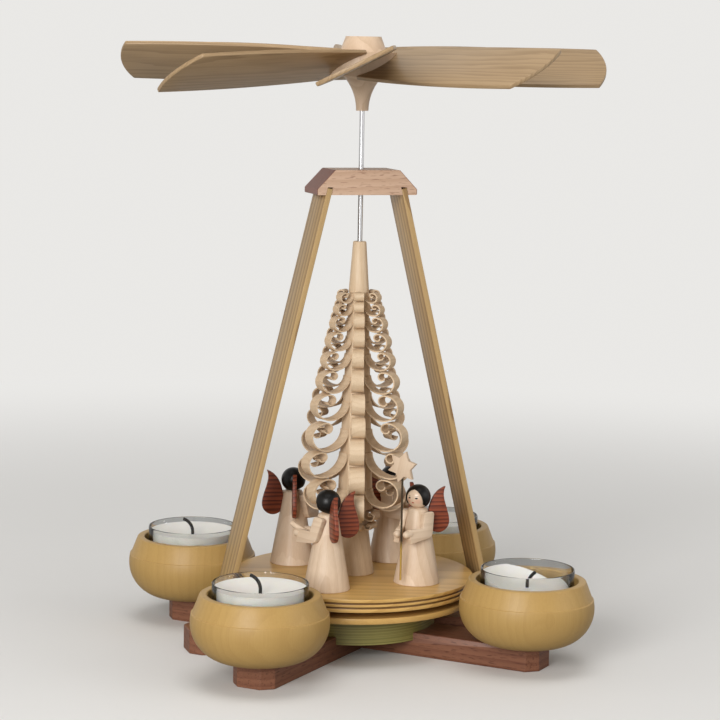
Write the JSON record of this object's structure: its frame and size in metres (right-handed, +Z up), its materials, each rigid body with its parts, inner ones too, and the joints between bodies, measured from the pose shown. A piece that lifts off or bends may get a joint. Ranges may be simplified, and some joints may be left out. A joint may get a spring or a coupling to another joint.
{
  "type": "christmas pyramid",
  "caption": "Wooden candle pyramid with a pitched wing wheel, a shaved-wood tree among angels on a turntable, and bowls with tea lights on a crossed base",
  "frame": {"origin": "on the floor, on the turning axis", "axes": "+Z is up along the axle, X runs along the bar that carries the two struts, and the picture is taken from the -Y side, turned towards -X"},
  "size_m": [0.272, 0.272, 0.3605],
  "materials": {
    "bar_beech": "oiled red-brown beech",
    "drum_green": "olive green stain, lacquered",
    "honey_wood": "honey coloured lacquer",
    "strut_wood": "lacquered, straight grain",
    "block_beech": "lacquered, flecked grain",
    "tree_linden": "raw shaved linden",
    "hub_wood": "turned, satin lacquer",
    "blade_wood": "thin board, satin lacquer",
    "figure_wood": "turned, satin lacquer",
    "head_wood": "turned ball with painted hair and face",
    "wing_mahogany": "dark red-brown, satin lacquer",
    "axle_steel": "polished round rod",
    "bearing_steel": "hard cup with a cone",
    "staff_wire": "thin dark wire",
    "clear_cup": "clear thin wall",
    "wax": "white wax",
    "wick": "burnt cotton"
  },
  "bodies": {
    "base": {"candle_bar_1": "bar_beech", "candle_bar_2": "bar_beech", "strut_bar": "bar_beech", "drum": "drum_green", "base_disc": "honey_wood", "bearing_cup": "bearing_steel", "strut_left": "strut_wood", "strut_right": "strut_wood", "top_block": "block_beech", "bowl_1": "honey_wood", "bowl_2": "honey_wood", "bowl_3": "honey_wood", "bowl_4": "honey_wood"},
    "rotor": {"axle": "axle_steel", "turntable": "honey_wood", "tree": "tree_linden", "wing_hub": "hub_wood", "blade_1": "blade_wood", "blade_2": "blade_wood", "blade_3": "blade_wood", "blade_4": "blade_wood", "blade_5": "blade_wood", "blade_6": "blade_wood", "blade_7": "blade_wood", "blade_8": "blade_wood", "angel_1_body": "figure_wood", "angel_1_head": "head_wood", "angel_1_arm_left": "figure_wood", "angel_1_arm_right": "figure_wood", "angel_1_wings": "wing_mahogany", "angel_2_body": "figure_wood", "angel_2_head": "head_wood", "angel_2_arm_left": "figure_wood", "angel_2_arm_right": "figure_wood", "angel_2_wings": "wing_mahogany", "angel_3_body": "figure_wood", "angel_3_head": "head_wood", "angel_3_arm_left": "figure_wood", "angel_3_arm_right": "figure_wood", "angel_3_wings": "wing_mahogany", "angel_4_body": "figure_wood", "angel_4_head": "head_wood", "angel_4_arm_left": "figure_wood", "angel_4_arm_right": "figure_wood", "angel_4_wings": "wing_mahogany", "star": "figure_wood", "star_staff": "staff_wire", "flute": "figure_wood"},
    "tea_light_1": {"tea_cup_1": "clear_cup", "tea_wax_1": "wax", "tea_wick_1": "wick"},
    "tea_light_2": {"tea_cup_2": "clear_cup", "tea_wax_2": "wax", "tea_wick_2": "wick"},
    "tea_light_3": {"tea_cup_3": "clear_cup", "tea_wax_3": "wax", "tea_wick_3": "wick"},
    "tea_light_4": {"tea_cup_4": "clear_cup", "tea_wax_4": "wax", "tea_wick_4": "wick"}
  },
  "joints": [
    {"name": "rotor_turn", "type": "hinge", "parent": "base", "child": "rotor", "pos_m": [0, 0, 0.02], "axis": [0, 0, 1], "continuous": true},
    {"name": "tea_light_1_lift", "type": "slide", "parent": "base", "child": "tea_light_1", "axis": [0, 0, 1], "range_m": [0, 0.03]},
    {"name": "tea_light_2_lift", "type": "slide", "parent": "base", "child": "tea_light_2", "axis": [0, 0, 1], "range_m": [0, 0.03]},
    {"name": "tea_light_3_lift", "type": "slide", "parent": "base", "child": "tea_light_3", "axis": [0, 0, 1], "range_m": [0, 0.03]},
    {"name": "tea_light_4_lift", "type": "slide", "parent": "base", "child": "tea_light_4", "axis": [0, 0, 1], "range_m": [0, 0.03]}
  ]
}
